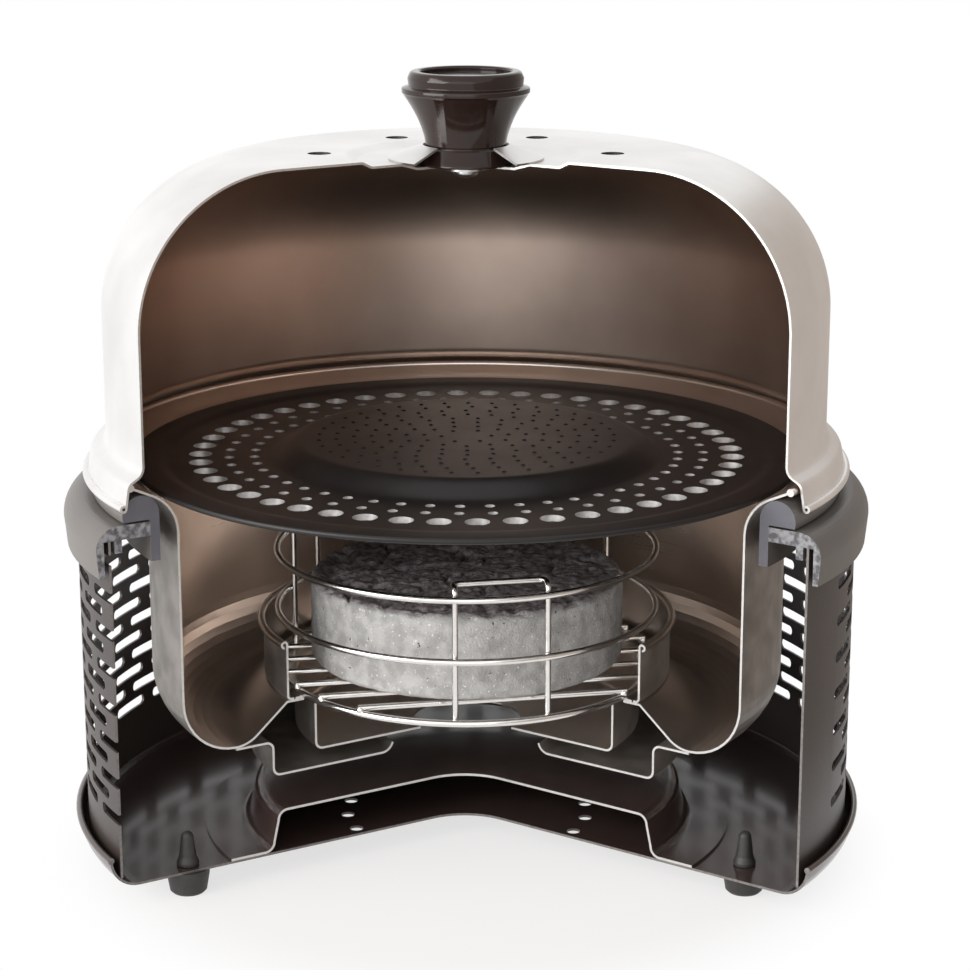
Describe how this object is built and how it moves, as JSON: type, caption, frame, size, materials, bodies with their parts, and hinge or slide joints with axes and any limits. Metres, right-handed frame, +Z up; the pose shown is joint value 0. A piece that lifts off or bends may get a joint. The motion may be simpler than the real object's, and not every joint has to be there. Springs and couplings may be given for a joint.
{
  "type": "portable charcoal grill",
  "caption": "Cutaway tabletop charcoal grill: domed steel lid, drain-holed cooking plate, moated bowl, wire fire basket and a slotted stand on rubber feet.",
  "frame": {"origin": "on the grill's axis, in the plane of the feet's undersides, which is the table", "axes": "+Z up along the axis the lid, plate, basket and bowl lift along, -Y towards the side that is cut open, +X to the right seen from that side"},
  "size_m": [0.32, 0.293, 0.3152],
  "materials": {
    "black_enamel": "gloss black",
    "wall_coat": "satin black powder coat",
    "collar_plastic": "satin moulded",
    "seat_plastic": "satin moulded",
    "foot_rubber": "matt",
    "bowl_steel": "pressed, satin",
    "basket_wire": "bright plated",
    "charcoal": "pressed, rough",
    "plate_coat": "satin non-stick coat",
    "lid_steel": "spun, satin",
    "knob_plastic": "gloss moulded",
    "fixing_steel": "plated"
  },
  "bodies": {
    "stand": {"base_tray": "black_enamel", "pedestal": "black_enamel", "perforated_wall": "wall_coat", "collar_ring": "collar_plastic", "bowl_seat_ring": "seat_plastic", "foot_left": "foot_rubber", "foot_right": "foot_rubber", "foot_back": "foot_rubber"},
    "bowl": {"inner_bowl": "bowl_steel", "well_guard": "bowl_steel", "well_cup": "bowl_steel", "support_ring": "bowl_steel"},
    "basket": {"basket_top_hoop": "basket_wire", "basket_middle_hoop": "basket_wire", "basket_bottom_hoop": "basket_wire", "basket_grate": "basket_wire", "lift_loop_front": "basket_wire", "lift_loop_left": "basket_wire", "lift_loop_right": "basket_wire"},
    "fuel": {"fuel_disc": "charcoal"},
    "plate": {"grill_plate": "plate_coat"},
    "lid": {"dome_lid": "lid_steel", "knob_ferrule": "lid_steel", "knob_body": "knob_plastic", "knob_cap": "knob_plastic", "knob_screw": "fixing_steel", "knob_washer": "fixing_steel"}
  },
  "joints": [
    {"name": "bowl_lift", "type": "slide", "parent": "stand", "child": "bowl", "axis": [0, 0, 1], "range_m": [0, 0.13]},
    {"name": "basket_lift", "type": "slide", "parent": "bowl", "child": "basket", "axis": [0, 0, 1], "range_m": [0, 0.11]},
    {"name": "fuel_lift", "type": "slide", "parent": "basket", "child": "fuel", "axis": [0, 0, 1], "range_m": [0, 0.06]},
    {"name": "plate_lift", "type": "slide", "parent": "fuel", "child": "plate", "axis": [0, 0, 1], "range_m": [0, 0.1]},
    {"name": "lid_lift", "type": "slide", "parent": "plate", "child": "lid", "axis": [0, 0, 1], "range_m": [0, 0.15]}
  ]
}
